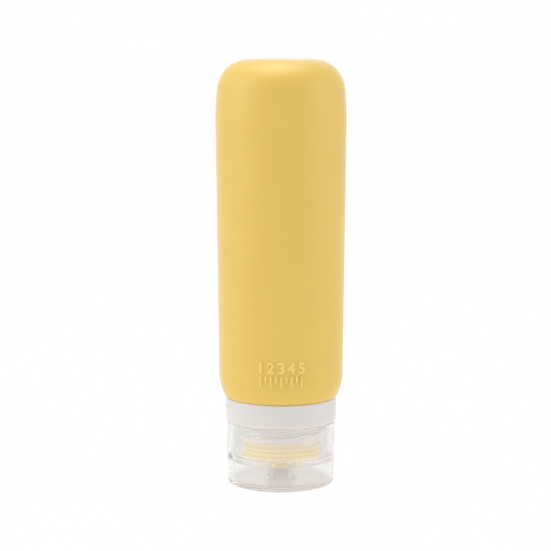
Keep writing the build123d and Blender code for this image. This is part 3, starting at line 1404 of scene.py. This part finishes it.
@dataclass
class FlipLid:
    """The clear lid that the bottle stands on, with seal ring, plug pin, knuckle and trunnions."""

    stack: Stack
    hinge: HingeSizes
    taper: float = 0.25
    floor: float = 1.0
    outer_round: float = 1.3
    inner_round: float = 0.9
    rim_round: float = 0.2
    ring_bore: float = 4.1
    ring_radius: float = 4.95
    ring_top: float = 2.2
    plug_radius: float = 2.05
    plug_tip: float = 1.55
    plug_top: float = 2.7
    ring_root: float = 0.25
    plug_round: float = 0.3
    web_back: float = 0.95
    web_front: float = 0.3
    root_front: float = 0.9
    root_drop: float = 1.2
    sliver: float = 0.01
    overrun: float = 1.0
    side_gap: float = 0.25

    def outline(self) -> list[Corner]:
        """Lists the corners of the lid's section.

        Returns:
            The outline's corners.
        """
        stack = self.stack
        return [
            Corner(0.0, 0.0),
            Corner(stack.lid_radius - self.taper, 0.0, self.outer_round, facets=9),
            Corner(stack.lid_radius, stack.lid_height, self.rim_round, facets=4),
            Corner(stack.lid_bore, stack.lid_height, *CRISP),
            Corner(stack.lid_bore - self.taper, self.floor, self.inner_round, facets=7),
            Corner(self.ring_radius, self.floor, *SOFT),
            Corner(self.ring_radius, self.ring_top, *EASED),
            Corner(self.ring_bore, self.ring_top, *EASED),
            Corner(self.ring_bore, self.floor, self.ring_root, facets=3),
            Corner(self.plug_radius, self.floor, *FINE),
            Corner(self.plug_radius, stack.nozzle_tip, self.plug_round, facets=3),
            Corner(self.plug_tip, self.plug_top, self.plug_round),
            Corner(0.0, self.plug_top),
        ]

    def cuts(self) -> Shape:
        """Makes the window in the lid's wall below the cap's ears.

        Returns:
            One cutting shape.
        """
        hinge = self.hinge
        half_width = math.sqrt(self.stack.lid_radius**2 - hinge.axis_radius**2)
        window = block(
            (hinge.axis_radius - hinge.window_back, -half_width, hinge.axis_height - hinge.window_height),
            (self.stack.lid_radius + self.overrun, half_width, self.stack.lid_height + self.overrun),
        )
        reach = hinge.ear_end + self.side_gap
        return combined(window, cross_bar(hinge.swing, -reach, reach, hinge.centre), Cut.ADD)

    def knuckle(self) -> Shape:
        """Makes the knuckle on its web, with a trunnion at each end.

        Returns:
            The knuckle's shape.
        """
        hinge = self.hinge
        half = hinge.half_knuckle
        bottom = hinge.axis_height - hinge.window_height
        back = hinge.axis_radius - self.web_back
        web = block(
            (back, -half, bottom - self.root_drop),
            (hinge.axis_radius + self.web_front, half, hinge.axis_height),
        )
        root = block(
            (back, -half + self.sliver, bottom - self.root_drop + self.sliver),
            (hinge.axis_radius + self.root_front, half - self.sliver, bottom),
        )
        barrel = cross_bar(hinge.barrel, -half, half, hinge.centre)
        reach = half + hinge.trunnion_length
        trunnions = cross_bar(hinge.trunnion, -reach, reach, hinge.centre, hinge.pin_sides)
        shape = combined(web, root, Cut.ADD)
        shape = combined(shape, barrel, Cut.ADD)
        return combined(shape, trunnions, Cut.ADD)

    def build(self, material: bpy.types.Material) -> None:
        """Builds the lid.

        Args:
            material: The clear plastic.
        """
        shape = combined(Turning(self.outline()).mesh(), self.cuts(), Cut.REMOVE)
        shape = combined(shape, self.knuckle(), Cut.ADD)
        lid = piece(turned_by(shape, self.hinge.azimuth), "clear_flip_lid", material, "lid")
        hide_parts("flip_lid")
        report_fit(lid, "flip_lid")


@dataclass
class ValveStack:
    """The slit valve, the snap ring that holds it and the gasket between valve and lip."""

    stack: Stack
    valve_radius: float = 12.3
    rim_width: float = 2.7
    cup_radius: float = 2.8
    cup_wall: float = 0.6
    slit_width: float = 0.1
    seat_gap: float = 0.06
    ring_bore: float = 5.4
    ring_radius: float = 9.3
    ring_thickness: float = 1.2
    gasket_radius: float = 12.2
    gasket_width: float = 2.6
    gasket_round: float = 0.35
    valve_round: float = 0.3
    slit_end: float = 0.35
    overrun: float = 1.0
    # The valve and gasket's yellow is the silicone's own, but painted lighter than the tube's as painted
    # light for the dim inside of the cap; the paler cup below 8.9 mm is painted light as well
    silicone: SoftSilicone = field(
        default_factory=lambda: SoftSilicone(
            "valve_silicone",
            (0.94, 0.70, 0.255),
            (0.96, 0.75, 0.29),
            bump=0.02,
            painted_light_end=(0.87, 0.77, 0.48),
            painted_light_height=8.9,
        )
    )
    clear: ClearPlastic = field(default_factory=lambda: ClearPlastic("clear_snap_ring", roughness=0.09))

    def valve(self) -> Shape:
        """Makes the valve's disc and cup and cuts the cross slit.

        Returns:
            The valve's shape.
        """
        stack = self.stack
        cup_bore = self.cup_radius - self.cup_wall
        cup_floor = stack.cup_bottom + self.cup_wall
        rim_bore = self.valve_radius - self.rim_width
        seat = stack.deck_top + self.seat_gap
        shape = Turning(
            [
                Corner(0.0, stack.cup_bottom),
                Corner(self.cup_radius, stack.cup_bottom, *SOFT),
                Corner(self.cup_radius, seat, *HAIR),
                Corner(self.valve_radius, seat, self.valve_round),
                Corner(self.valve_radius, stack.rim_top, self.valve_round),
                Corner(rim_bore, stack.rim_top, *HAIR),
                Corner(rim_bore, stack.web_top, *HAIR),
                Corner(cup_bore, stack.web_top, *SOFT),
                Corner(cup_bore, cup_floor, *SOFT),
                Corner(0.0, cup_floor),
            ],
            steps=96,
        ).mesh()
        half = self.slit_width / 2
        reach = cup_bore - self.slit_end
        low, high = stack.cup_bottom - self.overrun, cup_floor + self.overrun
        first = block((-reach, -half, low), (reach, half, high))
        second = block((-half, -reach, low), (half, reach, high))
        return combined(shape, combined(first, second, Cut.ADD), Cut.REMOVE)

    def retainer(self) -> Shape:
        """Makes the flat snap ring.

        Returns:
            The ring's shape.
        """
        low = self.stack.web_top + self.seat_gap
        high = self.stack.web_top + self.ring_thickness
        return Turning(
            [
                Corner(self.ring_bore, low, *HAIR),
                Corner(self.ring_radius, low, *HAIR),
                Corner(self.ring_radius, high, *EASED),
                Corner(self.ring_bore, high, *EASED),
            ],
            steps=96,
        ).mesh()

    def gasket(self) -> Shape:
        """Makes the gasket with its rounded edges.

        Returns:
            The gasket's shape.
        """
        bore = self.gasket_radius - self.gasket_width
        low, high = self.stack.rim_top, self.stack.gasket_top
        return Turning(
            [
                Corner(bore, low, *CRISP),
                Corner(self.gasket_radius, low, self.gasket_round),
                Corner(self.gasket_radius, high, self.gasket_round),
                Corner(bore, high, *CRISP),
            ],
            steps=120,
        ).mesh()

    def build(self, detail: SurfaceDetail) -> None:
        """Builds the three pieces.

        Args:
            detail: The shared effects.
        """
        soft = self.silicone.material(detail)
        clear = self.clear.material(detail)
        parts = (
            (self.valve(), "cross_slit_valve", soft, "cap", "valve_silicone", "slit_valve"),
            (self.retainer(), "snap_ring", clear, "cap", "clear_ring", "valve_retainer"),
            (self.gasket(), "seal_gasket", soft, "seal", "valve_silicone", "cap_gasket"),
        )
        for shape, name, material, body, slot, node in parts:
            item = piece(shape, name, material, body)
            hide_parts(node)
            report_fit(item, node)


# Studio


@dataclass(frozen=True)
class SoftBox:
    """A large square lamp, placed and aimed in metres."""

    name: str
    place: tuple[float, float, float]
    size: float
    watts: float
    aim: tuple[float, float, float] = (0.0, 0.0, 0.06)

    def build(self) -> None:
        """Builds the lamp."""
        lamp = bpy.data.lights.new(self.name, "AREA")
        lamp.shape = "SQUARE"
        lamp.size = self.size
        lamp.energy = self.watts
        item = linked(self.name, lamp)
        item.location = self.place
        item.rotation_euler = (Vector(self.aim) - Vector(self.place)).to_track_quat("-Z", "Y").to_euler()


@dataclass
class Studio:
    """A white floor and background, large soft lamps and the camera."""

    distance: float = 620.0
    camera_height: float = 145.65
    aim_x: float = -1.68
    aim_z: float = 64.5
    focal_pixels: float = 2036.4
    sensor: float = 36.0
    far_clip: float = 20.0
    floor_gap: float = 0.05
    floor_colour: Colour = (0.85, 0.85, 0.85)
    floor_shine: float = 0.985
    floor_glow: float = 0.70
    near_glow: float = 0.32
    near_start: float = 0.05
    near_reach: float = 0.30
    floor_reach: float = 6.0
    ambient: float = 0.56
    band: tuple[tuple[float, float], ...] = ((0.30, 0.8), (0.47, 1.0), (0.60, 1.0), (0.78, 0.85), (1.0, 0.8))
    bounces: int = 24
    lamps: tuple[SoftBox, ...] = (
        SoftBox("left_softbox", (-1.35, -0.35, 0.6), size=1.0, watts=7.6),
        SoftBox("right_softbox", (1.3, -0.35, 0.42), size=0.9, watts=4.4),
        SoftBox("top_softbox", (-0.1, 0.15, 1.45), size=1.1, watts=12.6),
        SoftBox("front_fill", (0.1, -1.9, 0.12), size=0.9, watts=3.7),
    )

    def floor(self) -> None:
        """Builds the pale floor, which looks white to the camera and keeps the object's shadow."""
        work = bmesh.new()
        lowered = Matrix.Translation((0.0, 0.0, -self.floor_gap * MM))
        bmesh.ops.create_grid(work, x_segments=1, y_segments=1, size=self.floor_reach, matrix=lowered)
        item = linked("studio_floor", mesh_of(work, "studio_floor"))
        material = bpy.data.materials.new("studio_white")
        material.use_nodes = True
        sheet = NodeSheet(material.node_tree)
        sheet.tree.nodes.remove(sheet.tree.nodes["Principled BSDF"])
        plain = sheet.add("ShaderNodeBsdfDiffuse")
        set_inputs(plain, {"Color": (*self.floor_colour, 1.0)})
        shine = sheet.add("ShaderNodeEmission")
        set_inputs(shine, {"Color": (*WHITE, 1.0)})
        path = sheet.add("ShaderNodeLightPath")
        seen = self.seen(sheet, path)
        share = sheet.spread(seen, self.floor_glow, self.floor_shine)
        sheet.join(self.near_light(sheet, seen), shine.inputs["Strength"])
        sheet.mix_surface(share, plain.outputs["BSDF"], shine.outputs["Emission"])
        item.data.materials.append(material)

    def near_light(self, sheet: NodeSheet, seen: Socket) -> Socket:
        """Makes the floor round the object lighter for the rays that light the object from below.

        Args:
            sheet: The tree's nodes.
            seen: One for rays that show the floor.

        Returns:
            The floor's strength: one where it is seen.
        """
        place = sheet.add("ShaderNodeTexCoord")
        radius = sheet.add("ShaderNodeVectorMath", operation="LENGTH")
        sheet.join(place.outputs["Object"], radius.inputs[0])
        near = radius.outputs["Value"]
        extra = sheet.spread(near, self.near_glow, 0.0, self.near_start, self.near_reach)
        unseen = sheet.spread(seen, 1.0, 0.0)
        strength = sheet.add("ShaderNodeMath", operation="MULTIPLY_ADD")
        sheet.join(extra, strength.inputs[0])
        sheet.join(unseen, strength.inputs[1])
        strength.inputs[2].default_value = 1.0
        return strength.outputs["Value"]

    @staticmethod
    def seen(sheet: NodeSheet, path: bpy.types.Node) -> Socket:
        """Tells rays that show the background from rays that light the object.

        Args:
            sheet: The tree's nodes.
            path: The Light Path node.

        Returns:
            A socket that is one for camera, glossy and transmission rays.
        """
        direct = sheet.work_out("MAXIMUM", path.outputs["Is Camera Ray"], path.outputs["Is Glossy Ray"])
        return sheet.work_out("MAXIMUM", direct, path.outputs["Is Transmission Ray"])

    def world(self) -> None:
        """Builds the surroundings: white to the camera, a shaded band in gloss and glass, else even light."""
        world = bpy.data.worlds.new("white_surroundings")
        bpy.context.scene.world = world
        world.use_nodes = True
        sheet = NodeSheet(world.node_tree)
        background = world.node_tree.nodes["Background"]
        place = sheet.add("ShaderNodeTexCoord")
        parts = sheet.add("ShaderNodeSeparateXYZ")
        sheet.join(place.outputs["Generated"], parts.inputs["Vector"])
        shades = sheet.add("ShaderNodeValToRGB")
        sheet.join(sheet.spread(parts.outputs["Z"], 0.0, 1.0, -1.0, 1.0), shades.inputs["Fac"])
        stops = shades.color_ramp.elements
        for index, (position, level) in enumerate(self.band):
            stop = stops[index] if index < len(stops) else stops.new(position)
            stop.position = position
            stop.color = (level, level, level, 1.0)
        path = sheet.add("ShaderNodeLightPath")
        even = (self.ambient, self.ambient, self.ambient)
        shown = sheet.blend(self.seen(sheet, path), even, shades.outputs["Color"])
        final = sheet.blend(path.outputs["Is Camera Ray"], shown, WHITE)
        sheet.join(final, background.inputs["Color"])

    def camera(self) -> None:
        """Builds the camera at the photograph's viewing angle."""
        lens = bpy.data.cameras.new("photo_camera")
        lens.sensor_width = self.sensor
        lens.lens = self.focal_pixels * self.sensor / PICTURE_WIDTH
        lens.clip_end = self.far_clip
        item = linked("photo_camera", lens)
        item.location = Vector((self.aim_x, -self.distance, self.camera_height)) * MM
        aim = Vector((self.aim_x, 0.0, self.aim_z)) * MM
        item.rotation_euler = (aim - item.location).to_track_quat("-Z", "Y").to_euler()
        bpy.context.scene.camera = item

    def light_paths(self) -> None:
        """Lets light bounce on inside the clear walls, where it would otherwise end in black."""
        cycles = bpy.context.scene.cycles
        cycles.max_bounces = self.bounces
        cycles.transmission_bounces = self.bounces
        cycles.glossy_bounces = self.bounces
        cycles.transparent_max_bounces = self.bounces

    def build(self) -> None:
        """Builds the whole studio."""
        bpy.context.scene.view_settings.view_transform = "Standard"
        self.light_paths()
        self.camera()
        self.floor()
        self.world()
        for lamp in self.lamps:
            lamp.build()


def main() -> None:
    """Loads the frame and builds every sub-assembly in order."""
    logging.basicConfig(level=logging.INFO, format="%(name)s: %(message)s")
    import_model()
    detail = SurfaceDetail()
    stack = Stack()
    hinge = HingeSizes()
    clear = ClearPlastic("clear_plastic").material(detail)
    smoky = ClearPlastic("clear_lid_plastic", tint=(0.925, 0.93, 0.93), clearness=0.91, roughness=0.13)
    SiliconeBottle(stack).build(detail)
    ScrewCollar(stack).build(detail)
    ClearCap(stack, hinge).build(clear)
    FlipLid(stack, hinge).build(smoky.material(detail))
    ValveStack(stack).build(detail)
    Studio().build()


if __name__ == "__main__":
    main()
